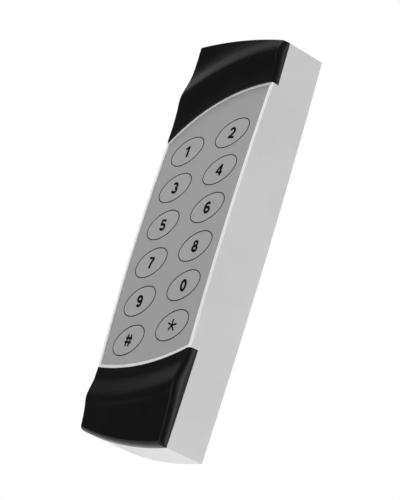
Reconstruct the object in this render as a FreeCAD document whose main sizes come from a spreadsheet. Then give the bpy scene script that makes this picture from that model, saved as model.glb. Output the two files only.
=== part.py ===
import FreeCAD, Part
import math
import os

import Sketcher
from FreeCAD import Placement, Rotation, Vector

# Keypad access reader: a long metal housing with a crowned front, a black cap over each end,
# a grey face plate between two slanted arcs and twelve tilted oval keys in two staggered columns.
# X runs to the right, Y into the wall and Z up. The origin is the middle of the wall face.
# "Height" below is the distance from the wall towards the front, which is -Y.

doc = FreeCAD.newDocument("keypad_access_reader")
sheet = doc.addObject("Spreadsheet::Sheet", "Sheet")

# Driving sizes in millimetres and degrees.
SIZES = {
    # housing
    "body_depth": 21.6,
    "half_width": 22.8,
    "half_length": 76.6,
    "side_radius": 2300,
    "end_radius": 124,
    "crown_radius": 900,
    "draft": 1.0,
    "wall": 2.2,
    "web_deep": 6.9,
    "rim": 1.0,
    "upper_rim_less": 0.3,
    "lower_rim_more": 0.2,
    "overrun": 10,
    # slanted arcs that part the caps from the face plate
    "upper_arc_radius": 62.4,
    "upper_arc_x": 26.2,
    "upper_arc_z": -4.0,
    "lower_arc_radius": 95.4,
    "lower_arc_x": -22.5,
    "lower_arc_z": 43.6,
    # caps
    "cap_deep": 4.7,
    "cap_shell": 2.0,
    "cap_cavity": 2.0,
    "cap_tangent": 57,
    "crest_block": 3,
    "wave_clearance": 12,
    # face plate and keys
    "plate_deep": 3.4,
    "plate_recess": 0.3,
    "ledge": 2.4,
    "key_rows": 6,
    "key_pitch": 14.5,
    "key_column": 10.2,
    "key_stagger": 3.5,
    "key_middle": -1.0,
    "key_long": 8.0,
    "key_short": 4.8,
    "key_tilt": 30.6,
    "key_gap": 0.35,
    "key_travel": 0.6,
    "key_rest_gap": 0.3,
    "flange": 0.6,
    "flange_thick": 0.8,
    # inside
    "fit": 0.2,
    "mat_thick": 1.5,
    "dome_radius": 3.5,
    "dome_thick": 0.4,
    "board_thick": 1.6,
    "board_side_room": 3.8,
    "board_end_room": 16.6,
    "board_screw_inset": 3.5,
    "board_screw_radius": 0.8,
    "board_screw_head": 1.9,
    "board_screw_head_thick": 1.2,
    "board_screw_length": 3.6,
    "board_tap": 1.6,
    # back plate and fixings
    "plate_thick": 2.0,
    "gasket_width": 1.2,
    "gasket_thick": 1.0,
    "post_end_room": 9.6,
    "post_radius": 3.8,
    "insert_radius": 2.3,
    "insert_length": 5.0,
    "screw_radius": 1.5,
    "screw_head_radius": 2.7,
    "screw_head_thick": 1.5,
    "screw_length": 7.5,
    "screw_overlap": 0.5,
    "wall_hole_z": 42,
    "wall_hole_radius": 2.2,
    "wall_hole_head": 4.2,
    "wall_hole_sink": 1.0,
    "inlet_radius": 6.0,
    "inlet_z": 11,
    "grommet_bore": 4.0,
    "grommet_lip": 1.2,
    "grommet_foot": 0.3,
    "grommet_lip_thick": 1.2,
    "grommet_tail": 1.2,
    "grommet_edge": 1.0,
    # antenna
    "coil_length": 30,
    "coil_breadth": 11.6,
    "coil_band": 2.8,
    "coil_thick": 1.0,
    "ferrite_thick": 0.5,
    # pieces on the board
    "led_radius": 1.5,
    "led_tall": 3.6,
    "led_bore": 1.8,
    "red_led_x": -13,
    "red_led_z": 51,
    "green_led_x": -6,
    "green_led_z": 55,
    "terminals": 8,
    "terminal_pitch": 3.5,
    "terminal_z": -22,
    "terminal_half_width": 14.6,
    "terminal_half_height": 4.2,
    "terminal_tall": 8.5,
    "terminal_screw": 1.4,
    "terminal_screw_thick": 1.2,
    "terminal_sink": 2.0,
    "buzzer_x": 9,
    "buzzer_z": 40,
    "buzzer_radius": 6,
    "buzzer_tall": 5,
    "capacitor_x": 12,
    "capacitor_z": 18,
    "capacitor_radius": 3.2,
    "capacitor_tall": 7.5,
    "controller_x": -6,
    "controller_z": 14,
    "controller_half_side": 5,
    "controller_tall": 1.2,
    "reader_chip_x": -8,
    "reader_chip_z": 42,
    "reader_chip_half_width": 3.2,
    "reader_chip_half_height": 2.6,
    "reader_chip_tall": 1.1,
    # tamper switch
    "tamper_x": -9,
    "tamper_z": -42,
    "tamper_side": 8,
    "tamper_tall": 7,
    "tamper_roof": 0.5,
    "plunger_radius": 1.5,
    "plunger_gap": 0.3,
    "plunger_foot": 0.3,
    "plunger_grip": 1.9,
    "plunger_travel": 1.2,
    "spring_wire": 0.2,
    "spring_turns": 4.5,
    "spring_gap": 0.02,
}
# Crest line of each cap: distance beyond its arc and how far the front stands proud there.
UPPER_WAVE = [(-4, 0.35), (0, 0.5), (6.5, 1.0), (12.4, 2.2), (19.0, 1.4), (25, 1.5), (42, 2.6)]
LOWER_WAVE = [(-4, 0.3), (0, 0.4), (6, 1.15), (10.6, 2.3), (16.5, 1.55), (24, 1.5), (42, 1.5)]


class Size:
    """A length that carries its number and the sheet expression that gives it."""

    def __init__(self, value, text):
        self.value = float(value)
        self.text = text

    def joined(self, other, sign, result):
        return Size(result, "(%s %s %s)" % (self.text, sign, other.text))

    def __add__(self, other):
        other = size(other)
        return self.joined(other, "+", self.value + other.value)

    def __sub__(self, other):
        other = size(other)
        return self.joined(other, "-", self.value - other.value)

    def __mul__(self, other):
        other = size(other)
        return self.joined(other, "*", self.value * other.value)

    def __truediv__(self, other):
        other = size(other)
        return self.joined(other, "/", self.value / other.value)

    def __neg__(self):
        return Size(-self.value, "(0 - %s)" % self.text)


def size(thing):
    """Returns a Size for a number or for a Size."""
    if isinstance(thing, Size):
        return thing
    return Size(thing, "(%s)" % thing)


class Dimensions:
    """The sheet's aliases as attributes."""


dim = Dimensions()
for row, (alias, number) in enumerate(SIZES.items(), start=1):
    sheet.set("A%d" % row, alias)
    sheet.set("B%d" % row, str(number))
    sheet.setAlias("B%d" % row, alias)
    setattr(dim, alias, Size(number, "Sheet." + alias))
doc.recompute()

parts = []
crown_top = dim.body_depth
web_back = dim.body_depth - dim.web_deep
cap_floor = dim.body_depth - dim.cap_deep
plate_back = dim.body_depth - dim.plate_deep
plate_front = dim.body_depth - dim.plate_recess
key_back = web_back + dim.mat_thick + dim.key_travel + dim.key_rest_gap
flange_front = key_back + dim.flange_thick
board_back = web_back - dim.board_thick
board_half_width = dim.half_width - dim.board_side_room
board_half_length = dim.half_length - dim.board_end_room
board_screw_x = board_half_width - dim.board_screw_inset
board_screw_z = board_half_length - dim.board_screw_inset
post_z = dim.half_length - dim.post_end_room
plunger_top = board_back - dim.tamper_tall + dim.plunger_grip
terminal_low = board_back - dim.terminal_tall
notch_reach = dim.half_width + dim.draft * 1.5
notch_far = dim.half_length + dim.overrun
far_front = dim.body_depth + dim.overrun


# ---------------------------------------------------------------- sketch and feature helpers


def bind(thing, path, length):
    thing.setExpression(path, length.text)


def new_body(label):
    body = doc.addObject("PartDesign::Body", label)
    body.Label = label
    parts.append(body)
    return body


def new_sketch(body, name, role="XZ_Plane", height=0):
    """A sketch on one of the body's own origin planes, lifted along the plane's normal."""
    sketch = body.newObject("Sketcher::SketchObject", name)
    plane = next(item for item in body.Origin.OriginFeatures if item.Role == role)
    sketch.AttachmentSupport = (plane, [""])
    sketch.MapMode = "FlatFace"
    bind(sketch, "AttachmentOffset.Base.z", size(height))
    return sketch


def place_point(sketch, element, point, across, up):
    """Ties a point of the sketch to its distances from the sketch's origin."""
    for kind, length in (("DistanceX", size(across)), ("DistanceY", size(up))):
        index = sketch.addConstraint(
            Sketcher.Constraint(kind, -1, 1, element, point, length.value))
        bind(sketch, "Constraints[%d]" % index, length)


def set_radius(sketch, element, radius):
    index = sketch.addConstraint(Sketcher.Constraint("Radius", element, radius.value))
    bind(sketch, "Constraints[%d]" % index, radius)


def add_circle(sketch, across, up, radius):
    centre = Vector(size(across).value, size(up).value, 0)
    radius = size(radius)
    index = sketch.addGeometry(Part.Circle(centre, Vector(0, 0, 1), radius.value))
    place_point(sketch, index, 3, across, up)
    set_radius(sketch, index, radius)


def add_polygon(sketch, corners):
    """A closed chain of lines through corners given as pairs of sizes."""
    spots = [(size(across), size(up)) for across, up in corners]
    points = [Vector(across.value, up.value, 0) for across, up in spots]
    first = sketch.GeometryCount
    for number, point in enumerate(points):
        sketch.addGeometry(Part.LineSegment(point, points[(number + 1) % len(points)]))
    for number, (across, up) in enumerate(spots):
        following = first + (number + 1) % len(points)
        sketch.addConstraint(Sketcher.Constraint("Coincident", first + number, 2, following, 1))
        place_point(sketch, first + number, 1, across, up)


def add_rectangle(sketch, across, up, half_width, half_height):
    across, up = size(across), size(up)
    half_width, half_height = size(half_width), size(half_height)
    add_polygon(sketch, [
        (across - half_width, up - half_height),
        (across + half_width, up - half_height),
        (across + half_width, up + half_height),
        (across - half_width, up + half_height)])


def crossing(one, two, toward):
    """The point where two circles cross that lies furthest along a direction."""
    x1, z1, r1 = (item.value for item in one)
    x2, z2, r2 = (item.value for item in two)
    gap = math.hypot(x2 - x1, z2 - z1)
    along = (gap * gap + r1 * r1 - r2 * r2) / (2 * gap)
    off = math.sqrt(r1 * r1 - along * along)
    ux, uz = (x2 - x1) / gap, (z2 - z1) / gap
    spots = [Vector(x1 + along * ux - sign * off * uz, z1 + along * uz + sign * off * ux, 0)
             for sign in (-1, 1)]
    return max(spots, key=lambda spot: spot.x * toward[0] + spot.y * toward[1])


def add_four_arcs(sketch, right, top, left, bottom):
    """A closed outline of four bowed sides, each the circle (centre x, centre z, radius)."""
    sides = [tuple(size(item) for item in side) for side in (right, top, left, bottom)]
    toward = [(1, 1), (-1, 1), (-1, -1), (1, -1)]
    ends = [crossing(sides[n], sides[(n + 1) % 4], toward[n]) for n in range(4)]
    first = sketch.GeometryCount
    for number, (x, z, radius) in enumerate(sides):
        begin = ends[number - 1]
        end = ends[number]
        circle = Part.Circle(Vector(x.value, z.value, 0), Vector(0, 0, 1), radius.value)
        angles = [math.atan2(spot.y - z.value, spot.x - x.value) for spot in (begin, end)]
        if angles[1] < angles[0]:
            angles[1] += 2 * math.pi
        sketch.addGeometry(Part.ArcOfCircle(circle, angles[0], angles[1]))
    for number, (x, z, radius) in enumerate(sides):
        following = first + (number + 1) % 4
        sketch.addConstraint(Sketcher.Constraint("Coincident", first + number, 2, following, 1))
        place_point(sketch, first + number, 3, x, z)
        set_radius(sketch, first + number, radius)


def pad(body, sketch, length, name):
    feature = body.newObject("PartDesign::Pad", name)
    feature.Profile = sketch
    bind(feature, "Length", size(length))
    return feature


def pocket(body, sketch, length, name, towards_front=True, midplane=False):
    feature = body.newObject("PartDesign::Pocket", name)
    feature.Profile = sketch
    feature.Reversed = towards_front
    feature.Midplane = midplane
    bind(feature, "Length", size(length))
    return feature


def outer_outline(sketch, inset):
    """The housing's outline in the front view, moved inwards by inset."""
    inset = size(inset)
    side_x = dim.half_width - dim.side_radius
    end_z = dim.half_length - dim.end_radius
    side_radius = dim.side_radius - inset
    end_radius = dim.end_radius - inset
    add_four_arcs(
        sketch,
        (side_x, 0, side_radius),
        (0, end_z, end_radius),
        (-side_x, 0, side_radius),
        (0, -end_z, end_radius))


def panel_outline(sketch, inset):
    """The face plate's outline between the two slanted arcs, moved inwards by inset."""
    inset = size(inset)
    side_x = dim.half_width - dim.side_radius
    side_radius = dim.side_radius - inset
    add_four_arcs(
        sketch,
        (side_x, 0, side_radius),
        (dim.upper_arc_x, dim.upper_arc_z, dim.upper_arc_radius - inset + dim.upper_rim_less),
        (-side_x, 0, side_radius),
        (dim.lower_arc_x, dim.lower_arc_z, dim.lower_arc_radius - inset - dim.lower_rim_more))


def add_arch(sketch, centre_x, centre_z, radius, reach, far_z, upper):
    """The region between an arc, two upright lines at -reach and reach, and the line far_z."""
    centre_x, centre_z, radius = size(centre_x), size(centre_z), size(radius)
    reach, far_z = size(reach), size(far_z)
    side = 1 if upper else -1
    spots = []
    for x in (reach.value, -reach.value):
        rise = math.sqrt(radius.value ** 2 - (x - centre_x.value) ** 2)
        spots.append(Vector(x, centre_z.value + side * rise, 0))
    if not upper:
        spots.reverse()
    circle = Part.Circle(Vector(centre_x.value, centre_z.value, 0), Vector(0, 0, 1), radius.value)
    angles = [math.atan2(spot.y - centre_z.value, spot.x - centre_x.value) for spot in spots]
    if angles[1] < angles[0]:
        angles[1] += 2 * math.pi
    arc = sketch.addGeometry(Part.ArcOfCircle(circle, angles[0], angles[1]))
    corners = [Vector(spot.x, far_z.value, 0) for spot in spots]
    rising = sketch.addGeometry(Part.LineSegment(spots[1], corners[1]))
    across = sketch.addGeometry(Part.LineSegment(corners[1], corners[0]))
    falling = sketch.addGeometry(Part.LineSegment(corners[0], spots[0]))
    for one, end, two, start in ((arc, 2, rising, 1), (rising, 2, across, 1),
                                 (across, 2, falling, 1), (falling, 2, arc, 1)):
        sketch.addConstraint(Sketcher.Constraint("Coincident", one, end, two, start))
    place_point(sketch, arc, 3, centre_x, centre_z)
    set_radius(sketch, arc, radius)
    sign = -side
    place_point(sketch, across, 1, reach * sign, far_z)
    place_point(sketch, across, 2, reach * (-sign), far_z)
    sketch.addConstraint(Sketcher.Constraint("Vertical", rising))
    sketch.addConstraint(Sketcher.Constraint("Vertical", falling))


def cut_crown(body, height):
    """Cuts the front to an arc along Z whose highest line is at height."""
    sketch = new_sketch(body, "crown_profile", "YZ_Plane")
    reach = notch_far
    centre = dim.crown_radius - height
    rise = math.sqrt(dim.crown_radius.value ** 2 - reach.value ** 2)
    y_end = centre.value - rise
    spread = math.asin(reach.value / dim.crown_radius.value)
    circle = Part.Circle(Vector(centre.value, 0, 0), Vector(0, 0, 1), dim.crown_radius.value)
    arc = sketch.addGeometry(Part.ArcOfCircle(circle, math.pi - spread, math.pi + spread))
    front = -far_front.value
    spots = [Vector(y_end, -reach.value, 0), Vector(front, -reach.value, 0),
             Vector(front, reach.value, 0), Vector(y_end, reach.value, 0)]
    lines = [sketch.addGeometry(Part.LineSegment(spots[n], spots[n + 1])) for n in range(3)]
    chain = [(arc, 2, lines[0], 1), (lines[0], 2, lines[1], 1),
             (lines[1], 2, lines[2], 1), (lines[2], 2, arc, 1)]
    for one, end, two, start in chain:
        sketch.addConstraint(Sketcher.Constraint("Coincident", one, end, two, start))
    place_point(sketch, arc, 3, centre, 0)
    set_radius(sketch, arc, dim.crown_radius)
    place_point(sketch, lines[1], 1, -far_front, -reach)
    place_point(sketch, lines[1], 2, -far_front, reach)
    sketch.addConstraint(Sketcher.Constraint("Horizontal", lines[0]))
    sketch.addConstraint(Sketcher.Constraint("Horizontal", lines[2]))
    return pocket(body, sketch, dim.half_width * 3, "crown", False, True)


def box(label, across, up, low, half_width, half_height, thick):
    """A block standing on a height above the wall."""
    body = new_body(label)
    sketch = new_sketch(body, "outline", height=low)
    add_rectangle(sketch, across, up, half_width, half_height)
    pad(body, sketch, thick, "block")
    return body


def disc(label, across, up, low, radius, thick):
    body = new_body(label)
    sketch = new_sketch(body, "outline", height=low)
    add_circle(sketch, across, up, radius)
    pad(body, sketch, thick, "block")
    return body


# ---------------------------------------------------------------- key positions


def key_places():
    """Label and centre of every key, from the top, the right column higher than the left."""
    names = ["1", "2", "3", "4", "5", "6", "7", "8", "9", "0", "hash", "star"]
    places = []
    for number, name in enumerate(names):
        line, column = divmod(number, 2)
        side = 2 * column - 1
        row_z = dim.key_pitch * ((dim.key_rows - 1) / 2 - line)
        centre_z = row_z + dim.key_stagger * side + dim.key_middle
        places.append((name, dim.key_column * side, centre_z))
    return places


def add_oval(sketch, across, up, grow):
    """A tilted ellipse, the key's outline made larger all round by grow."""
    long_half = dim.key_long + grow
    short_half = dim.key_short + grow
    tilt = math.radians(dim.key_tilt.value)
    centre = Vector(across.value, up.value, 0)
    end = centre + Vector(math.cos(tilt), math.sin(tilt), 0) * long_half.value
    side = centre + Vector(-math.sin(tilt), math.cos(tilt), 0) * short_half.value
    oval = sketch.addGeometry(Part.Ellipse(end, side, centre))
    sketch.exposeInternalGeometry(oval)
    major = oval + 1
    minor = oval + 2
    place_point(sketch, oval, 3, across, up)
    for line, length in ((major, long_half), (minor, short_half)):
        index = sketch.addConstraint(
            Sketcher.Constraint("Distance", line, length.value * 2))
        bind(sketch, "Constraints[%d]" % index, length * 2)
    index = sketch.addConstraint(Sketcher.Constraint("Angle", -1, 1, major, 1, tilt))
    sketch.setExpression("Constraints[%d]" % index, dim.key_tilt.text + " * 1 deg")


# ---------------------------------------------------------------- housing and shells


def make_housing():
    body = new_body("housing")
    back = new_sketch(body, "back_outline")
    outer_outline(back, -dim.draft)
    front = new_sketch(body, "front_outline", height=dim.body_depth)
    outer_outline(front, 0)
    loft = body.newObject("PartDesign::AdditiveLoft", "shell")
    loft.Profile = back
    loft.Sections = [front]
    loft.Ruled = True
    cut_crown(body, crown_top)
    for name, upper in (("upper", True), ("lower", False)):
        sketch = new_sketch(body, name + "_cap_seat", height=cap_floor)
        arc = arc_of(upper)
        far = notch_far * (1 if upper else -1)
        add_arch(sketch, arc[0], arc[1], arc[2], notch_reach, far, upper)
        pocket(body, sketch, dim.body_depth, name + "_cap_notch")
    seat = new_sketch(body, "plate_seat", height=plate_back)
    panel_outline(seat, dim.rim)
    pocket(body, seat, dim.body_depth, "plate_recess_cut")
    window = new_sketch(body, "key_window", height=0)
    panel_outline(window, dim.rim + dim.ledge)
    pocket(body, window, dim.body_depth * 2, "window_cut")
    cavity = new_sketch(body, "cavity_outline")
    outer_outline(cavity, dim.wall)
    pocket(body, cavity, web_back, "cavity")
    gasket = new_sketch(body, "gasket_groove")
    outer_outline(gasket, gasket_outer())
    outer_outline(gasket, gasket_outer() + dim.gasket_width)
    pocket(body, gasket, dim.gasket_thick, "gasket_seat")
    holes = new_sketch(body, "fixing_holes")
    for side in (-1, 1):
        add_circle(holes, 0, post_z * side, dim.screw_radius + dim.fit)
    for across, up in led_places():
        add_circle(holes, across, up, dim.led_bore)
    pocket(body, holes, dim.body_depth * 2, "fixing_cuts")
    taps = new_sketch(body, "board_taps", height=web_back)
    for across, up in board_screw_places():
        add_circle(taps, across, up, dim.board_screw_radius)
    pocket(body, taps, dim.board_tap, "board_tap_cuts")
    return body


def arc_of(upper):
    """Centre and radius of the arc where a cap ends."""
    if upper:
        return dim.upper_arc_x, dim.upper_arc_z, dim.upper_arc_radius
    return dim.lower_arc_x, dim.lower_arc_z, dim.lower_arc_radius


def gasket_outer():
    return (dim.wall - dim.draft - dim.gasket_width) / 2


def board_screw_places():
    return [(board_screw_x * side, board_screw_z * end)
            for end in (-1, 1) for side in (-1, 1)]


def led_places():
    return [(dim.red_led_x, dim.red_led_z), (dim.green_led_x, dim.green_led_z)]


def make_cap(label, upper, wave):
    """An end cap: fills the notch in the housing, with a crest that runs beside the arc."""
    body = new_body(label)
    lower_edge = new_sketch(body, "floor_outline", height=cap_floor)
    outer_outline(lower_edge, -dim.draft * (dim.body_depth - cap_floor) / dim.body_depth)
    upper_edge = new_sketch(body, "top_outline", height=dim.body_depth)
    outer_outline(upper_edge, 0)
    loft = body.newObject("PartDesign::AdditiveLoft", "block")
    loft.Profile = lower_edge
    loft.Sections = [upper_edge]
    loft.Ruled = True
    lift = new_sketch(body, "crest_outline", height=dim.body_depth)
    outer_outline(lift, 0)
    pad(body, lift, dim.crest_block, "crest_block")
    arc_x, arc_z, arc_radius = arc_of(upper)
    side = 1 if upper else -1
    arch = new_sketch(body, "arc_cut", height=cap_floor)
    add_arch(arch, arc_x, arc_z, arc_radius, notch_reach, notch_far * -side, upper)
    pocket(body, arch, dim.body_depth, "arc_side")
    cut_wave(body, wave, arc_x, arc_z, arc_radius, side)
    hollow = new_sketch(body, "hollow_outline", height=cap_floor)
    add_cap_region(hollow, upper)
    pocket(body, hollow, dim.cap_cavity, "hollow")
    if upper:
        seat = new_sketch(body, "coil_seat", height=cap_floor)
        add_rectangle(
            seat, 0, post_z, dim.coil_length / 2 + dim.fit, dim.coil_breadth / 2 + dim.fit)
        pocket(body, seat, dim.cap_cavity, "coil_seat_cut")
    return body


def cut_wave(body, wave, arc_x, arc_z, arc_radius, side):
    """Turns the crest profile about a leaning axis through the arc's centre."""
    sketch = new_sketch(body, "wave_profile", "YZ_Plane")
    tangent = dim.cap_tangent * side
    sag = dim.cap_tangent * dim.cap_tangent / (dim.crown_radius * 2)
    surface = dim.body_depth - sag
    slope = dim.cap_tangent / dim.crown_radius
    lean = Size(math.degrees(math.atan(slope.value)), "atan(%s)" % slope.text) * -side
    sketch.AttachmentOffset = Placement(Vector(0, 0, 0), Rotation(Vector(0, 0, 1), lean.value))
    shift = (arc_z - tangent) * slope * side
    bind(sketch, "AttachmentOffset.Base.x", -surface + shift)
    bind(sketch, "AttachmentOffset.Base.y", arc_z)
    bind(sketch, "AttachmentOffset.Base.z", arc_x)
    bind(sketch, "AttachmentOffset.Rotation.Angle", lean)
    corners = [(-size(proud), (arc_radius + beyond) * side) for beyond, proud in wave]
    outermost = (arc_radius + dim.half_length) * side
    corners += [(corners[-1][0], outermost), (-dim.wave_clearance, outermost),
                (-dim.wave_clearance, corners[0][1])]
    add_polygon(sketch, corners)
    groove = body.newObject("PartDesign::Groove", "wave")
    groove.Profile = sketch
    groove.ReferenceAxis = (sketch, ["H_Axis"])
    groove.Angle = 360
    return groove


def add_cap_region(sketch, upper):
    """The hollow behind a cap: it stays a shell's width from the arc, the sides and the end."""
    side = 1 if upper else -1
    reach = dim.half_width - dim.cap_shell - dim.draft
    arc_x, arc_z, arc_radius = arc_of(upper)
    end_z = dim.half_length - dim.cap_shell - reach * reach / (dim.end_radius * 2)
    add_arch(sketch, arc_x, arc_z, arc_radius + dim.cap_shell, reach, end_z * side, upper)


def make_face_plate():
    body = new_body("face_plate")
    sketch = new_sketch(body, "outline", height=plate_back)
    panel_outline(sketch, dim.rim + dim.fit / 2)
    pad(body, sketch, dim.body_depth - plate_back, "plate")
    cut_crown(body, plate_front)
    holes = new_sketch(body, "key_holes", height=plate_back)
    for name, across, up in key_places():
        add_oval(holes, across, up, dim.key_gap / 2)
    pocket(body, holes, dim.body_depth, "key_hole_cuts")
    return body


def make_key(name, across, up):
    body = new_body("key_" + name)
    sketch = new_sketch(body, "cap_outline", height=key_back)
    add_oval(sketch, across, up, -dim.key_gap / 2)
    pad(body, sketch, dim.body_depth - key_back, "cap")
    cut_crown(body, plate_front)
    flange = new_sketch(body, "flange_outline", height=key_back)
    add_oval(flange, across, up, dim.flange)
    pad(body, flange, dim.flange_thick, "flange")
    return body


def make_key_mat():
    body = new_body("key_mat")
    sketch = new_sketch(body, "outline", height=web_back)
    panel_outline(sketch, dim.rim + dim.ledge + dim.fit)
    pad(body, sketch, dim.mat_thick, "mat")
    cups = new_sketch(body, "dome_cups", height=web_back)
    for name, across, up in key_places():
        add_circle(cups, across, up, dim.dome_radius + dim.fit)
    pocket(body, cups, dim.dome_thick + dim.fit, "dome_cup_cuts")
    return body


def cylinder(name, across, up, low, radius, tall):
    """A round bar that stands on a height above the wall and points to the front."""
    bar = doc.addObject("Part::Cylinder", name)
    bind(bar, "Radius", size(radius))
    bind(bar, "Height", size(tall))
    bar.Placement = Placement(Vector(0, 0, 0), Rotation(Vector(1, 0, 0), 90))
    bind(bar, "Placement.Base.x", size(across))
    bind(bar, "Placement.Base.y", -size(low))
    bind(bar, "Placement.Base.z", size(up))
    return bar


def combined(kind, name, base, tool):
    """A Part::Fuse or Part::Cut of two solids."""
    made = doc.addObject(kind, name)
    made.Base = base
    made.Tool = tool
    return made


def make_node(label, pieces):
    """One node that holds identical separate solids."""
    group = doc.addObject("Part::Compound", label)
    group.Links = pieces
    group.Label = label
    parts.append(group)
    return group


def make_discs(label, places, low, radius, thick):
    return make_node(label, [
        cylinder("%s_%d" % (label, number), across, up, low, radius, thick)
        for number, (across, up) in enumerate(places)])


# ---------------------------------------------------------------- inside


def terminal_places():
    count = int(dim.terminals.value)
    return [(dim.terminal_pitch * (number - (count - 1) / 2), dim.terminal_z)
            for number in range(count)]


def make_board():
    body = new_body("main_board")
    sketch = new_sketch(body, "outline", height=board_back)
    add_rectangle(sketch, 0, 0, board_half_width, board_half_length)
    pad(body, sketch, dim.board_thick, "board")
    holes = new_sketch(body, "screw_holes", height=board_back)
    for across, up in board_screw_places():
        add_circle(holes, across, up, dim.board_screw_radius + dim.fit)
    pocket(body, holes, dim.body_depth, "screw_hole_cuts")
    return body


def make_screws(label, places, head, shank):
    """Pan-head screws as one node. head and shank are each (low, radius, length)."""
    pieces = []
    for number, (across, up) in enumerate(places):
        ends = [cylinder("%s_%s_%d" % (label, part, number), across, up, *form)
                for part, form in (("head", head), ("shank", shank))]
        pieces.append(combined("Part::Fuse", "%s_%d" % (label, number), *ends))
    return make_node(label, pieces)


def make_back_plate():
    body = new_body("back_plate")
    sketch = new_sketch(body, "outline")
    outer_outline(sketch, dim.wall + dim.fit)
    pad(body, sketch, dim.plate_thick, "plate")
    posts = new_sketch(body, "posts")
    for side in (-1, 1):
        add_circle(posts, 0, post_z * side, dim.post_radius)
    pad(body, posts, web_back, "post_pads")
    inserts = new_sketch(body, "insert_holes", height=web_back - dim.insert_length)
    for side in (-1, 1):
        add_circle(inserts, 0, post_z * side, dim.insert_radius)
    pocket(body, inserts, dim.insert_length, "insert_cuts")
    holes = new_sketch(body, "through_holes")
    add_circle(holes, 0, dim.inlet_z, dim.inlet_radius)
    add_circle(holes, dim.tamper_x, dim.tamper_z, dim.plunger_radius + dim.plunger_gap * 2)
    for side in (-1, 1):
        add_circle(holes, 0, dim.wall_hole_z * side, dim.wall_hole_radius)
    pocket(body, holes, dim.plate_thick, "through_cuts")
    sinks = new_sketch(body, "screw_sinks", height=dim.plate_thick - dim.wall_hole_sink)
    for side in (-1, 1):
        add_circle(sinks, 0, dim.wall_hole_z * side, dim.wall_hole_head)
    pocket(body, sinks, dim.wall_hole_sink, "sink_cuts")
    return body


def make_gasket():
    body = new_body("rear_gasket")
    sketch = new_sketch(body, "outline")
    outer_outline(sketch, gasket_outer())
    outer_outline(sketch, gasket_outer() + dim.gasket_width)
    pad(body, sketch, dim.gasket_thick, "ring")
    return body


def make_inserts():
    """Brass tubes pressed into the ends of the back plate's posts."""
    low = web_back - dim.insert_length
    pieces = []
    for number, side in enumerate((-1, 1)):
        outside = cylinder("insert_outside_%d" % number, 0, post_z * side, low, dim.insert_radius,
                           dim.insert_length)
        bore = cylinder("insert_bore_%d" % number, 0, post_z * side, low, dim.screw_radius,
                        dim.insert_length)
        pieces.append(combined("Part::Cut", "insert_%d" % number, outside, bore))
    return make_node("threaded_inserts", pieces)


def make_grommet():
    """A rubber bush turned about its bore, with a lip inside and a neck in the back plate."""
    body = new_body("cable_grommet")
    sketch = new_sketch(body, "section", "YZ_Plane")
    bind(sketch, "AttachmentOffset.Base.y", dim.inlet_z)
    neck = dim.inlet_radius
    lip = dim.inlet_radius + dim.grommet_lip
    lip_front = dim.plate_thick + dim.grommet_lip_thick
    tail_front = lip_front + dim.grommet_tail
    add_polygon(sketch, [
        (-dim.grommet_foot, dim.grommet_bore), (-dim.grommet_foot, neck),
        (-dim.plate_thick, neck), (-dim.plate_thick, lip), (-lip_front, lip),
        (-tail_front, dim.grommet_bore + dim.grommet_edge), (-tail_front, dim.grommet_bore)])
    turn = body.newObject("PartDesign::Revolution", "bush")
    turn.Profile = sketch
    turn.ReferenceAxis = (sketch, ["H_Axis"])
    turn.Angle = 360
    return body


def make_ring(label, low, thick, with_bore):
    """A flat racetrack under the upper cap, a coil with an open middle or a sheet with a hole."""
    body = new_body(label)
    sketch = new_sketch(body, "outline", height=low)
    half_length = dim.coil_length / 2
    half_breadth = dim.coil_breadth / 2
    add_rectangle(sketch, 0, post_z, half_length, half_breadth)
    if with_bore:
        add_circle(sketch, 0, post_z, dim.screw_head_radius + dim.fit)
    else:
        add_rectangle(sketch, 0, post_z, half_length - dim.coil_band, half_breadth - dim.coil_band)
    pad(body, sketch, thick, "sheet")
    return body


def make_terminal_block():
    body = box("terminal_block", 0, dim.terminal_z, terminal_low, dim.terminal_half_width,
               dim.terminal_half_height, dim.terminal_tall)
    sinks = new_sketch(body, "screw_sinks", height=terminal_low)
    for across, up in terminal_places():
        add_circle(sinks, across, up, dim.terminal_screw)
    pocket(body, sinks, dim.terminal_sink, "screw_sink_cuts")
    return body


def make_tamper_switch():
    side = dim.tamper_side / 2
    low = board_back - dim.tamper_tall
    body = box("tamper_switch", dim.tamper_x, dim.tamper_z, low, side, side, dim.tamper_tall)
    bore = new_sketch(body, "bore", height=low)
    add_circle(bore, dim.tamper_x, dim.tamper_z, dim.plunger_radius + dim.plunger_gap)
    pocket(body, bore, dim.tamper_tall - dim.tamper_roof, "bore_cut")
    return body


def make_tamper_spring():
    """A coil between the plunger and the end of the switch's bore."""
    wire = dim.spring_wire.value
    room = wire + dim.spring_gap.value
    begin = plunger_top.value + room
    end = board_back.value - dim.tamper_roof.value - room
    radius = dim.plunger_radius.value - wire
    helix = Part.makeLongHelix((end - begin) / dim.spring_turns.value, end - begin, radius)
    ring = Part.Wire(Part.makeCircle(wire, Vector(radius, 0, 0), Vector(0, 1, 0)))
    spring = doc.addObject("Part::Feature", "tamper_spring")
    spring.Shape = Part.Wire(helix).makePipeShell([ring], True, True)
    spring.Placement = Placement(
        Vector(dim.tamper_x.value, -begin, dim.tamper_z.value), Rotation(Vector(1, 0, 0), 90))
    spring.Label = "tamper_spring"
    parts.append(spring)
    return spring


# ---------------------------------------------------------------- assembly


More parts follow.
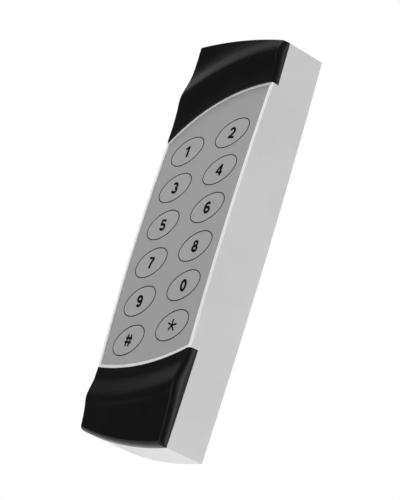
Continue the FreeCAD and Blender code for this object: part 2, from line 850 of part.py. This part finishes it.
make_housing()
make_cap("upper_cap", True, UPPER_WAVE)
make_cap("lower_cap", False, LOWER_WAVE)
make_face_plate()
for key_name, key_x, key_z in key_places():
    make_key(key_name, key_x, key_z)
make_key_mat()
make_discs("snap_domes", [place[1:] for place in key_places()], web_back, dim.dome_radius,
           dim.dome_thick)
make_board()
make_screws("board_screws", board_screw_places(),
            (board_back - dim.board_screw_head_thick, dim.board_screw_head,
             dim.board_screw_head_thick),
            (board_back - dim.board_screw_head_thick / 2, dim.board_screw_radius,
             dim.board_screw_length))
make_screws("housing_screws", [(size(0), -post_z), (size(0), post_z)],
            (cap_floor, dim.screw_head_radius, dim.screw_head_thick),
            (cap_floor + dim.screw_overlap - dim.screw_length, dim.screw_radius,
             dim.screw_length))
make_back_plate()
make_inserts()
make_gasket()
make_grommet()
make_ring("ferrite_sheet", cap_floor, dim.ferrite_thick, True)
make_ring("antenna_coil", cap_floor + dim.ferrite_thick, dim.coil_thick, False)
make_terminal_block()
make_discs("terminal_screws", terminal_places(),
           terminal_low + dim.terminal_sink - dim.terminal_screw_thick, dim.terminal_screw,
           dim.terminal_screw_thick)
for led_name, (led_x, led_z) in zip(("red_led", "green_led"), led_places()):
    disc(led_name, led_x, led_z, web_back, dim.led_radius, dim.led_tall)
disc("buzzer", dim.buzzer_x, dim.buzzer_z, board_back - dim.buzzer_tall, dim.buzzer_radius,
     dim.buzzer_tall)
disc("capacitor", dim.capacitor_x, dim.capacitor_z, board_back - dim.capacitor_tall,
     dim.capacitor_radius, dim.capacitor_tall)
box("microcontroller", dim.controller_x, dim.controller_z, board_back - dim.controller_tall,
    dim.controller_half_side, dim.controller_half_side, dim.controller_tall)
box("reader_chip", dim.reader_chip_x, dim.reader_chip_z, board_back - dim.reader_chip_tall,
    dim.reader_chip_half_width, dim.reader_chip_half_height, dim.reader_chip_tall)
make_tamper_switch()
disc("tamper_plunger", dim.tamper_x, dim.tamper_z, dim.plunger_foot, dim.plunger_radius,
     plunger_top - dim.plunger_foot)
make_tamper_spring()
doc.recompute()

# ---------------------------------------------------------------- checks and export

for item in doc.Objects:
    faults = [state for state in item.State if state in ("Invalid", "Error")]
    if faults:
        raise RuntimeError("%s (%s) failed: %s" % (item.Label, item.Name, faults))
for item in parts:
    if item.Shape.isNull() or not item.Shape.isValid():
        raise RuntimeError("bad shape: " + item.Label)
os.makedirs("parts", exist_ok=True)
for item in parts:
    item.Shape.exportStep("parts/%s.step" % item.Label)
    bounds = item.Shape.BoundBox
    print("%-18s solids %2d volume %9.2f  x %.2f %.2f  y %.2f %.2f  z %.2f %.2f" % (
        item.Label, len(item.Shape.Solids), item.Shape.Volume, bounds.XMin, bounds.XMax,
        bounds.YMin, bounds.YMax, bounds.ZMin, bounds.ZMax))
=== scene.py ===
import math

import bmesh
import bpy
import numpy as np
from mathutils import Matrix, Vector


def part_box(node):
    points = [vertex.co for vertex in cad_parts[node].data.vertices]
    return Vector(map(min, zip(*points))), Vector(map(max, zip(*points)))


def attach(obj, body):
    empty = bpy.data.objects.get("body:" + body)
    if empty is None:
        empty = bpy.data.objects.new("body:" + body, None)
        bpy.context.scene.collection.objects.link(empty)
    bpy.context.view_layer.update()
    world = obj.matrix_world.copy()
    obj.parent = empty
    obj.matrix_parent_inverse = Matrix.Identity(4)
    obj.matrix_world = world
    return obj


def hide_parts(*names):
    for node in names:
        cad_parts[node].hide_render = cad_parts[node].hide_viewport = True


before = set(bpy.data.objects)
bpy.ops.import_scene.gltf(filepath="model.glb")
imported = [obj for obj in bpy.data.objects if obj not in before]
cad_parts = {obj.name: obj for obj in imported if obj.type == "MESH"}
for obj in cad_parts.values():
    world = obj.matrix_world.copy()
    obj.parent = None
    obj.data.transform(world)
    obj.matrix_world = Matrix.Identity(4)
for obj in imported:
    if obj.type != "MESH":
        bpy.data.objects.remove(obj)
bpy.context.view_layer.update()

BODY = "reader_body"
MM = 0.001

# The housing in millimetres: height is measured from the wall face towards the front (-Y).
DEPTH = -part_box("housing")[0].y / MM
DRAFT = 1.0
HALF_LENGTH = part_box("housing")[1].z / MM - DRAFT
SIDE_RADIUS = 2300.0
HALF_WIDTH = 22.8
END_RADIUS = 124.0
CROWN_RADIUS = 900.0
CAP_FLOOR = -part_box("upper_cap")[1].y / MM
UPPER_ARC = (26.2, -4.0, 62.4)
LOWER_ARC = (-22.5, 43.6, 95.4)

# Crests of the caps: distance beyond the arc and how far the cap stands proud of the crown.
UPPER_WAVE = [(0, 0.85), (4, 1.1), (8, 1.75), (11, 2.5), (12.4, 2.64), (13.6, 2.46), (15, 2.12),
              (18.4, 1.36), (20, 1.22), (24, 1.5), (28, 2.1), (33, 2.9), (45, 3.6)]
LOWER_WAVE = [(0, 0.6), (2.5, 0.82), (4.4, 1.02), (5.2, 1.2), (7.5, 1.86), (9.6, 2.46), (10.6, 2.66),
              (12, 2.7), (14.5, 2.3), (18, 1.95), (22, 1.85), (30, 1.85), (45, 1.9)]

# Rounded edges of a cap: how far each reaches inwards and how far down.
SIDE_ROUND, ARC_ROUND, INNER_ROUND = (0.85, 2.0), (0.25, 0.25), (0.3, 0.3)
UPPER_END_ROUND, LOWER_END_ROUND = (0.5, 0.9), (1.4, 2.4)

# A cap's wall and hollow, its steps across and along, and a drop that always reaches its floor.
CAP_WALL, CAP_HOLLOW = 2.0, 2.0
CAP_ACROSS, CAP_ALONG = 90, 110
FULL_DROP = 99.0

# The plate and its keys lie a little below the crown. Figures are printed on the keys in layers.
PLATE_RECESS = 0.3
NUMERAL_HEIGHT = 4.4
INK_LIFT, INK_LAYER = 0.012, 0.002

# Rounded edges of the pieces that are copied from the frame.
HOUSING_EDGE, PLATE_EDGE, BACK_EDGE = 0.45, 0.28, 0.3
EDGE_ANGLE = 30


# ---------------------------------------------------------------- shader helpers


class Flow:
    """A number in a material. Arithmetic on it adds Math nodes."""

    def __init__(self, finish, socket):
        self.finish = finish
        self.socket = socket

    def _math(self, operation, *values):
        node = self.finish.node("ShaderNodeMath", {"operation": operation}, *values)
        return Flow(self.finish, node.outputs[0])

    def __add__(self, other):
        return self._math("ADD", self, other)

    def __sub__(self, other):
        return self._math("SUBTRACT", self, other)

    def __rsub__(self, other):
        return self._math("SUBTRACT", other, self)

    def __mul__(self, other):
        return self._math("MULTIPLY", self, other)

    __radd__ = __add__
    __rmul__ = __mul__

    def __truediv__(self, other):
        return self._math("DIVIDE", self, other)

    def span(self, low, high, start=0.0, end=1.0):
        """Maps low..high smoothly to start..end and holds the ends."""
        node = self.finish.node(
            "ShaderNodeMapRange", {"interpolation_type": "SMOOTHSTEP"}, self, low, high, start, end)
        return Flow(self.finish, node.outputs[0])


class Finish:
    """A procedural material on Object coordinates."""

    def __init__(self, name):
        self.material = bpy.data.materials.new(name)
        self.material.use_nodes = True
        self.tree = self.material.node_tree
        self.shader = self.tree.nodes["Principled BSDF"]

    def plug(self, socket, value):
        if isinstance(value, Flow):
            value = value.socket
        if isinstance(value, bpy.types.NodeSocket):
            self.tree.links.new(value, socket)
        else:
            socket.default_value = value

    def node(self, kind, settings, *values, **named):
        made = self.tree.nodes.new(kind)
        for key, value in settings.items():
            setattr(made, key, value)
        for socket, value in zip(made.inputs, values):
            if value is not None:
                self.plug(socket, value)
        for key, value in named.items():
            self.plug(made.inputs[key.replace("_", " ")], value)
        return made

    def place(self):
        return self.node("ShaderNodeTexCoord", {}).outputs["Object"]

    def stretched(self, x, y, z):
        """Object coordinates scaled differently along each direction."""
        return self.node("ShaderNodeMapping", {}, self.place(), Scale=(x, y, z)).outputs[0]

    def noise(self, scale, detail=2.0, roughness=0.5, where=None):
        made = self.node("ShaderNodeTexNoise", {}, where or self.place(), Scale=scale,
                         Detail=detail, Roughness=roughness)
        return Flow(self, made.outputs["Fac"])

    def blend(self, factor, one, two):
        made = self.node("ShaderNodeMix", {"data_type": "RGBA"})
        self.plug(made.inputs[0], factor)
        for socket, colour in zip(made.inputs[6:8], (one, two)):
            self.plug(socket, (*colour, 1.0) if isinstance(colour, tuple) else colour)
        return made.outputs[2]

    def below_front(self):
        """How far a point lies below the plate's crowned front, in millimetres."""
        parts = self.node("ShaderNodeSeparateXYZ", {}, self.place())
        y, z = (Flow(self, parts.outputs[name]) / MM for name in "YZ")
        return DEPTH - PLATE_RECESS - z * z / (2 * CROWN_RADIUS) + y

    def set(self, **named):
        for key, value in named.items():
            self.plug(self.shader.inputs[key.replace("_", " ")], value)

    def bump(self, height, strength, distance):
        made = self.node("ShaderNodeBump", {}, Strength=strength, Distance=distance, Height=height)
        self.plug(self.shader.inputs["Normal"], made.outputs[0])


# Near-white colour painted on the housing's rim round the plate: a painted highlight.
RIM_PAINTED_HIGHLIGHT = (0.95, 0.95, 0.95)
# Near-black colour painted on key and plate flanks: painted shade in the gaps between parts.
PAINTED_GAP_SHADE = (0.006, 0.006, 0.006)


def satin_metal():
    """Silver lacquer over cast metal; the edge round the plate is painted near-white as a painted
    highlight.
    """
    made = Finish("satin_metal")
    grain = made.noise(5200, 2.0)
    cloud = made.noise(35, 3.0)
    lacquer = made.blend(cloud.span(0.35, 0.65), (0.70, 0.70, 0.70), (0.73, 0.73, 0.73))
    # The rim's top is painted near-white as a painted highlight; the lacquer starts just below it.
    below_rim_highlight = made.below_front().span(0.1, 0.25)
    made.set(Base_Color=made.blend(below_rim_highlight, RIM_PAINTED_HIGHLIGHT, lacquer), Metallic=0.15)
    made.set(Roughness=cloud.span(0.3, 0.7, 0.40, 0.46) + grain * 0.05)
    made.bump(grain, 0.12, 0.00004)
    return made.material


def grey_paint(name, dark, light):
    """Fine matt texture paint; the flanks round keys and plate edges are painted near-black as painted
    shade in the gaps.
    """
    made = Finish(name)
    grain = made.noise(3800, 3.0, 0.6)
    speck = grain.span(0.35, 0.7)
    painted = made.blend(speck, dark, light)
    # Flanks just below the front are painted near-black and fully metallic: painted shade for the gaps
    # round keys and plate.
    flank_painted_shade = made.below_front().span(0.015, 0.045)
    made.set(Base_Color=made.blend(flank_painted_shade, painted, PAINTED_GAP_SHADE), Metallic=flank_painted_shade * 0.9 + 0.1)
    made.set(Roughness=grain.span(0.3, 0.7, 0.5, 0.62))
    made.bump(grain, 0.25, 0.00005)
    return made.material


def black_gloss():
    """Moulded black plastic with a faint waviness and light handling marks."""
    made = Finish("black_gloss")
    ripple = made.noise(260, 2.0)
    marks = made.noise(70, 4.0, 0.65, made.stretched(1.0, 1.0, 0.4))
    black = made.blend(marks.span(0.4, 0.7), (0.0075, 0.0075, 0.0076), (0.0085, 0.0085, 0.0086))
    made.set(Base_Color=black, Specular_IOR_Level=0.17)
    made.set(Roughness=marks.span(0.35, 0.75, 0.15, 0.22))
    made.bump(ripple, 0.03, 0.0001)
    return made.material


def plain(name, colour, roughness, metallic=0.0, gloss=0.5):
    """A moulded or turned finish with a little tone and grain."""
    made = Finish(name)
    grain = made.noise(900, 3.0)
    darker = tuple(value * 0.82 for value in colour)
    made.set(Base_Color=made.blend(grain.span(0.3, 0.7), darker, colour))
    made.set(Metallic=metallic, Specular_IOR_Level=gloss)
    made.set(Roughness=grain.span(0.3, 0.7, roughness - 0.05, roughness + 0.08))
    made.bump(grain, 0.3, 0.00008)
    return made.material


# ---------------------------------------------------------------- geometry helpers


def add_piece(name, mesh, material, body=BODY):
    """A smooth-shaded piece that rides on a body, in one material slot."""
    piece = bpy.data.objects.new(name, mesh)
    bpy.context.scene.collection.objects.link(piece)
    mesh.materials.clear()
    mesh.materials.append(material)
    mesh.polygons.foreach_set("use_smooth", np.ones(len(mesh.polygons), bool))
    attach(piece, body)
    return piece


def closed_mesh(mesh):
    """Merges doubles and turns every face outwards."""
    work = bmesh.new()
    work.from_mesh(mesh)
    bmesh.ops.remove_doubles(work, verts=work.verts, dist=2e-6)
    bmesh.ops.recalc_face_normals(work, faces=work.faces)
    work.to_mesh(mesh)
    work.free()
    return mesh


def crown(z):
    """Height of the housing's front at z: an arc of CROWN_RADIUS."""
    return DEPTH - z * z / (2 * CROWN_RADIUS)


def side_x(z):
    """Half width of the housing at z, bowed to SIDE_RADIUS."""
    return HALF_WIDTH - z * z / (2 * SIDE_RADIUS)


def end_z(x):
    """Half length of the housing at x, an arc of END_RADIUS."""
    return HALF_LENGTH - END_RADIUS + np.sqrt(END_RADIUS ** 2 - x * x)


def arc_z(arc, x, upper):
    """Height of a slanted arc at x."""
    centre_x, centre_z, radius = arc
    rise = np.sqrt(radius ** 2 - (x - centre_x) ** 2)
    return centre_z + (rise if upper else -rise)


def smooth_through(points, at):
    """Cubic Hermite curve through points, its slopes the mean of the neighbouring slopes."""
    xs = np.array([point[0] for point in points], float)
    ys = np.array([point[1] for point in points], float)
    slope = np.gradient(ys, xs)
    cell = np.clip(np.searchsorted(xs, at) - 1, 0, len(xs) - 2)
    width = xs[cell + 1] - xs[cell]
    t = np.clip((at - xs[cell]) / width, 0, 1)
    return ((2 * t ** 3 - 3 * t ** 2 + 1) * ys[cell] + (t ** 3 - 2 * t ** 2 + t) * width * slope[cell]
            + (3 * t ** 2 - 2 * t ** 3) * ys[cell + 1] + (t ** 3 - t ** 2) * width * slope[cell + 1])


def dressed(node, material, width, segments=4, body=BODY):
    """A merged copy of a CAD node whose sharp edges are rounded."""
    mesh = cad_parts[node].data.copy()
    work = bmesh.new()
    work.from_mesh(mesh)
    bmesh.ops.remove_doubles(work, verts=work.verts, dist=1e-6)
    bmesh.ops.dissolve_limit(work, angle_limit=math.radians(0.02), verts=work.verts, edges=work.edges)
    work.to_mesh(mesh)
    work.free()
    piece = add_piece(node + "_dressed", mesh, material, body)
    bevel = piece.modifiers.new("edge", "BEVEL")
    bevel.width = width * MM
    bevel.segments = segments
    bevel.limit_method = "ANGLE"
    bevel.angle_limit = math.radians(EDGE_ANGLE)
    weighted = piece.modifiers.new("shading", "WEIGHTED_NORMAL")
    weighted.weight = 100
    weighted.keep_sharp = False
    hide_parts(node)
    return piece


# ---------------------------------------------------------------- caps


def rounded_edge(width, depth, steps=9):
    """Insets and drops of a quarter ellipse, from the top of the round down to the floor."""
    turn = np.linspace(0, math.pi / 2, steps)
    inset = np.append(width * (1 - np.sin(turn)), 0.0)
    drop = np.append(depth * (1 - np.cos(turn)), FULL_DROP)
    return inset, drop


def cap_surface(arc, upper, shrink, radii, front):
    """A lid over the region between an arc and the housing's end, as a grid of points.

    Across, x goes from edge to edge; along, z goes from the arc to the end. The last steps of
    both follow a quarter ellipse and then drop straight to the cap's floor. Everything is moved
    in by shrink, and front(x, z) gives the height between the edges.
    """
    side = 1 if upper else -1
    side_round, arc_round, end_round = (rounded_edge(*radius) for radius in radii)
    edge = len(side_round[0])
    across = np.concatenate([np.full(edge, -1.0), np.linspace(-1, 1, CAP_ACROSS), np.full(edge, 1.0)])
    along = np.concatenate([np.zeros(edge), np.linspace(0, 1, CAP_ALONG), np.ones(edge)])
    x_inset = np.concatenate([side_round[0][::-1], np.full(CAP_ACROSS, side_round[0][0]), side_round[0]])
    x_drop = np.concatenate([side_round[1][::-1], np.zeros(CAP_ACROSS), side_round[1]])
    near_inset = np.concatenate([arc_round[0][::-1], np.full(CAP_ALONG + edge, arc_round[0][0])])
    far_inset = np.concatenate([np.full(edge + CAP_ALONG, end_round[0][0]), end_round[0]])
    z_drop = np.concatenate([arc_round[1][::-1], np.zeros(CAP_ALONG), end_round[1]])
    drop = x_drop[:, None] + z_drop[None, :]
    z = np.full(drop.shape, side * HALF_LENGTH)
    height = np.full(drop.shape, DEPTH)
    for _ in range(8):
        lean = DRAFT * (1 - height / DEPTH) - shrink
        x = across[:, None] * (side_x(z) + lean - x_inset[:, None])
        near = side * arc_z(arc, x, upper) + shrink + near_inset[None, :]
        far = end_z(x) + lean - far_inset[None, :]
        z = side * (near + (far - near) * along[None, :])
        height = np.maximum(front(x, z) - drop, CAP_FLOOR)
    return np.stack([x, -height, z], -1) * MM


def cap_front(arc, wave):
    """Height of a cap's front: the crown plus a wave in the distance beyond the arc."""
    def front(x, z):
        beyond = np.hypot(x - arc[0], z - arc[1]) - arc[2]
        return crown(z) + smooth_through(wave, np.clip(beyond, 0, wave[-1][0]))
    return front


def make_cap(node, upper, wave, material):
    """A hollow cap: the waved skin and a flat-roofed hollow, joined by a rim on the cap's floor."""
    arc = UPPER_ARC if upper else LOWER_ARC
    rounds = (SIDE_ROUND, ARC_ROUND, UPPER_END_ROUND if upper else LOWER_END_ROUND)
    skin = cap_surface(arc, upper, 0.0, rounds, cap_front(arc, wave))
    roof = CAP_FLOOR + CAP_HOLLOW
    hollow = cap_surface(arc, upper, CAP_WALL, (INNER_ROUND,) * 3, lambda x, z: np.full(x.shape, roof))
    rows, columns = skin.shape[:2]
    index = np.arange(rows * columns).reshape(rows, columns)
    quads = np.stack([index[:-1, :-1], index[1:, :-1], index[1:, 1:], index[:-1, 1:]], -1).reshape(-1, 4)
    border = np.concatenate([index[0, :-1], index[:-1, -1], index[-1, :0:-1], index[:0:-1, 0]])
    following = np.roll(border, -1)
    total = rows * columns
    rim = np.stack([border, following, following + total, border + total], -1)
    faces = np.vstack([quads, quads[:, ::-1] + total, rim])
    mesh = bpy.data.meshes.new(node + "_moulding")
    mesh.from_pydata(np.vstack([skin.reshape(-1, 3), hollow.reshape(-1, 3)]).tolist(), [], faces.tolist())
    piece = add_piece(node + "_moulding", closed_mesh(mesh), material)
    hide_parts(node)
    return piece


# ---------------------------------------------------------------- numerals


def arc_points(centre, radii, start, end, steps=40):
    """Points on an ellipse from a start to an end angle in degrees."""
    angle = np.radians(np.linspace(start, end, steps))
    return np.stack([centre[0] + radii[0] * np.cos(angle), centre[1] + radii[1] * np.sin(angle)], 1)


def bow(start, bend, end, steps=16):
    """A quadratic curve from start to end, drawn towards bend."""
    t = np.linspace(0, 1, steps)[:, None]
    start, bend, end = (np.array(point, float) for point in (start, bend, end))
    return (1 - t) ** 2 * start + 2 * t * (1 - t) * bend + t ** 2 * end


def joined(*runs):
    return np.vstack([np.array(run, float) for run in runs])


STEM = 0.235
STROKES = {
    "0": [(arc_points((0, 0.5), (0.235, 0.41), 0, 360), STEM)],
    "1": [(joined([(0.09, 0), (0.09, 1)]), STEM),
          (bow((0.07, 0.96), (-0.02, 0.78), (-0.25, 0.72)), 0.19)],
    "2": [(joined(arc_points((0, 0.67), (0.235, 0.24), 172, -22),
                  bow((0.2, 0.56), (0.06, 0.34), (-0.2, 0.12))), STEM),
          (joined([(-0.33, 0.105), (0.33, 0.105)]), 0.21)],
    "3": [(arc_points((-0.01, 0.71), (0.215, 0.2), 160, -90), STEM),
          (arc_points((-0.01, 0.305), (0.245, 0.215), 90, -162), STEM)],
    "4": [(joined([(0.13, 0), (0.13, 1)]), STEM),
          (joined([(0.1, 0.93), (-0.28, 0.34)]), 0.18),
          (joined([(-0.36, 0.285), (0.34, 0.285)]), 0.19)],
    "5": [(joined([(-0.2, 0.9), (0.29, 0.9)]), 0.2),
          (joined([(-0.17, 0.96), (-0.225, 0.46)]), 0.18),
          (arc_points((0, 0.325), (0.245, 0.235), 148, -158), STEM)],
    "6": [(arc_points((0.01, 0.315), (0.235, 0.225), 0, 360), STEM),
          (arc_points((0.04, 0.5), (0.27, 0.41), 200, 48), STEM)],
    "7": [(joined([(-0.3, 0.9), (0.31, 0.9)]), 0.2),
          (bow((0.26, 0.9), (-0.04, 0.5), (-0.07, 0.0)), STEM)],
    "8": [(arc_points((0, 0.725), (0.19, 0.18), 0, 360), 0.2),
          (arc_points((0, 0.3), (0.235, 0.215), 0, 360), STEM)],
    "9": [(arc_points((-0.01, 0.685), (0.235, 0.225), 0, 360), STEM),
          (arc_points((-0.04, 0.5), (0.27, 0.41), 20, -132), STEM)],
    "hash": [(joined([(-0.4, 0.34), (0.36, 0.34)]), 0.18), (joined([(-0.36, 0.68), (0.4, 0.68)]), 0.18),
             (joined([(-0.25, 0), (-0.09, 1)]), 0.17), (joined([(0.09, 0), (0.25, 1)]), 0.17)],
    "star": [(joined([(0, 0.5), (0.52 * math.sin(turn), 0.5 + 0.52 * math.cos(turn))]), 0.16)
             for turn in np.radians(np.arange(5) * 72)],
}


def ribbon(path, width):
    """A flat band of constant width along a path: two rows of points half a width to each side."""
    ahead = np.gradient(path, axis=0)
    if np.allclose(path[0], path[-1]):
        ahead[0] = ahead[-1] = path[1] - path[-2]
    ahead /= np.linalg.norm(ahead, axis=1)[:, None]
    side = np.stack([-ahead[:, 1], ahead[:, 0]], 1) * width / 2
    return np.stack([path + side, path - side], 0)


def make_numeral(name, body, ink):
    """The printed figure on a key: bands of ink laid on the key's front, one over the other."""
    low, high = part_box("key_" + name)
    centre_x = (low.x + high.x) / 2 / MM
    centre_z = (low.z + high.z) / 2 / MM
    points, faces = [], []
    for layer, (path, width) in enumerate(STROKES[name]):
        band = ribbon(path, width)
        x = centre_x + band[..., 0] * NUMERAL_HEIGHT
        z = centre_z + (band[..., 1] - 0.5) * NUMERAL_HEIGHT
        height = crown(z) - PLATE_RECESS + INK_LIFT + INK_LAYER * layer
        grid = np.stack([x, -height, z], -1) * MM
        first = len(points)
        count = grid.shape[1]
        points += grid.reshape(-1, 3).tolist()
        for step in range(count - 1):
            faces.append((first + step, first + count + step, first + count + step + 1, first + step + 1))
    mesh = bpy.data.meshes.new("numeral_" + name)
    mesh.from_pydata(points, [], faces)
    work = bmesh.new()
    work.from_mesh(mesh)
    for face in work.faces:
        face.normal_update()
        if face.normal.y > 0:
            face.normal_flip()
    work.to_mesh(mesh)
    work.free()
    return add_piece("numeral_" + name, mesh, ink, body)


# ---------------------------------------------------------------- build

METAL = satin_metal()
FACE = grey_paint("face_paint", (0.35, 0.35, 0.35), (0.41, 0.41, 0.41))
KEY = grey_paint("key_paint", (0.37, 0.37, 0.37), (0.43, 0.43, 0.43))
GLOSS = black_gloss()
INK = plain("ink", (0.003, 0.003, 0.003), 0.8, gloss=0.1)
MOULDED = plain("moulded_black", (0.02, 0.02, 0.021), 0.5)
RUBBER = plain("rubber_black", (0.018, 0.018, 0.018), 0.75)
STEEL = plain("bright_steel", (0.55, 0.55, 0.56), 0.32, 1.0)
BRASS = plain("turned_brass", (0.7, 0.5, 0.22), 0.3, 1.0)
COPPER = plain("enamelled_copper", (0.55, 0.22, 0.09), 0.35, 0.9)
RESIST = plain("solder_resist", (0.02, 0.14, 0.05), 0.35)
SILICONE = plain("silicone", (0.5, 0.5, 0.49), 0.6)
TERMINAL = plain("terminal_green", (0.03, 0.28, 0.1), 0.5)
WHITE = plain("white_moulding", (0.75, 0.75, 0.73), 0.45)
FERRITE = plain("ferrite_grey", (0.06, 0.06, 0.065), 0.6)
RED = plain("red_lens", (0.6, 0.03, 0.02), 0.2)
GREEN = plain("green_lens", (0.04, 0.5, 0.08), 0.2)

dressed("housing", METAL, HOUSING_EDGE)
make_cap("upper_cap", True, UPPER_WAVE, GLOSS)
make_cap("lower_cap", False, LOWER_WAVE, GLOSS)
dressed("face_plate", FACE, PLATE_EDGE)
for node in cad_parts:
    if node.startswith("key_") and node != "key_mat":
        dressed(node, KEY, PLATE_EDGE, body=node + "_body")
        make_numeral(node[4:], node + "_body", INK)
dressed("back_plate", MOULDED, BACK_EDGE, segments=3)

CARRIED = {
    "key_mat": SILICONE, "snap_domes": STEEL, "main_board": RESIST, "board_screws": STEEL,
    "housing_screws": STEEL, "threaded_inserts": BRASS, "rear_gasket": RUBBER,
    "cable_grommet": RUBBER, "ferrite_sheet": FERRITE, "antenna_coil": COPPER,
    "terminal_block": TERMINAL, "terminal_screws": STEEL, "red_led": RED, "green_led": GREEN,
    "buzzer": MOULDED, "capacitor": MOULDED, "microcontroller": MOULDED, "reader_chip": MOULDED,
    "tamper_switch": MOULDED, "tamper_plunger": WHITE, "tamper_spring": STEEL,
}
for node, material in CARRIED.items():
    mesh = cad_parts[node].data
    mesh.materials.clear()
    mesh.materials.append(material)


# ---------------------------------------------------------------- camera, lights, floor

camera_data = bpy.data.cameras.new("camera")
camera_data.sensor_fit = "HORIZONTAL"
camera_data.sensor_width = 36.0
camera_data.lens = 131.0
camera_data.clip_start = 0.01
camera = bpy.data.objects.new("camera", camera_data)
right = Vector((0.67466, 0.67934, 0.28867)).normalized()
back = -Vector((-0.73754, 0.63616, 0.22659)).normalized()
up = back.cross(right).normalized()
right = up.cross(back)
camera.matrix_world = Matrix.Translation((0.38426, -0.34124, -0.12011)) @ Matrix(
    (right, up, back)).transposed().to_4x4()
bpy.context.scene.collection.objects.link(camera)
bpy.context.scene.camera = camera


# Soft boxes and cards round the object: direction, where the edge fades in, strength.
WIDE, NARROW = (0.6, 0.97), (0.8, 0.97)
SOFT_BOXES = [
    ((0.0, 0.0, 1.0), WIDE, 3.33),
    ((0.0, -0.6, 0.8), NARROW, 0.8),
    ((-0.74, -0.2, 0.64), NARROW, 0.2),
    ((0.5, 0.5, 0.71), NARROW, 0.32),
    ((0.71, -0.71, 0.0), NARROW, 0.16),
    ((0.61, 0.76, -0.2), NARROW, 1.29),
    ((0.64, 0.0, -0.77), NARROW, 1.18),
    ((0.45, -0.45, -0.77), WIDE, 0.54),
    ((0.2, -0.5, -0.84), NARROW, 1.07),
    ((0.0, -0.64, -0.77), NARROW, 3.33),
    ((0.1, -0.97, -0.2), NARROW, 1.18),
    ((-0.76, -0.05, -0.65), NARROW, 0.86),
    ((0.0, 1.0, 0.0), WIDE, 0.64),
    ((-1.0, 0.3, 0.1), WIDE, 0.54),
]

world = bpy.data.worlds.new("studio")
world.use_nodes = True
bpy.context.scene.world = world
tree = world.node_tree
tree.nodes.clear()


class Sky(Finish):
    """The studio's surroundings as a function of direction."""

    def __init__(self, tree):
        self.tree = tree

    def toward(self, direction):
        """Cosine of the angle between the direction looked in and a given one."""
        looked = self.node("ShaderNodeTexCoord", {}).outputs["Generated"]
        unit = tuple(Vector(direction).normalized())
        made = self.node("ShaderNodeVectorMath", {"operation": "DOT_PRODUCT"}, looked, unit)
        return Flow(self, made.outputs["Value"])


sky = Sky(tree)
glow = 0.04
for direction, (fade_in, full), strength in SOFT_BOXES:
    glow = glow + sky.toward(direction).span(fade_in, full) * strength
seen = sky.node("ShaderNodeLightPath", {}).outputs["Is Camera Ray"]
level = glow + (1.0 - glow) * Flow(sky, seen)
shine = sky.node("ShaderNodeBackground", {}, (1, 1, 1, 1), level)
sky.node("ShaderNodeOutputWorld", {}, shine.outputs[0])

bpy.ops.mesh.primitive_plane_add(size=3, location=(0, 0, -0.6))
floor = bpy.context.object
floor.name = "floor"
floor.data.materials.append(plain("pale_floor", (0.7, 0.7, 0.7), 0.8))

bpy.context.scene.view_settings.view_transform = "Standard"
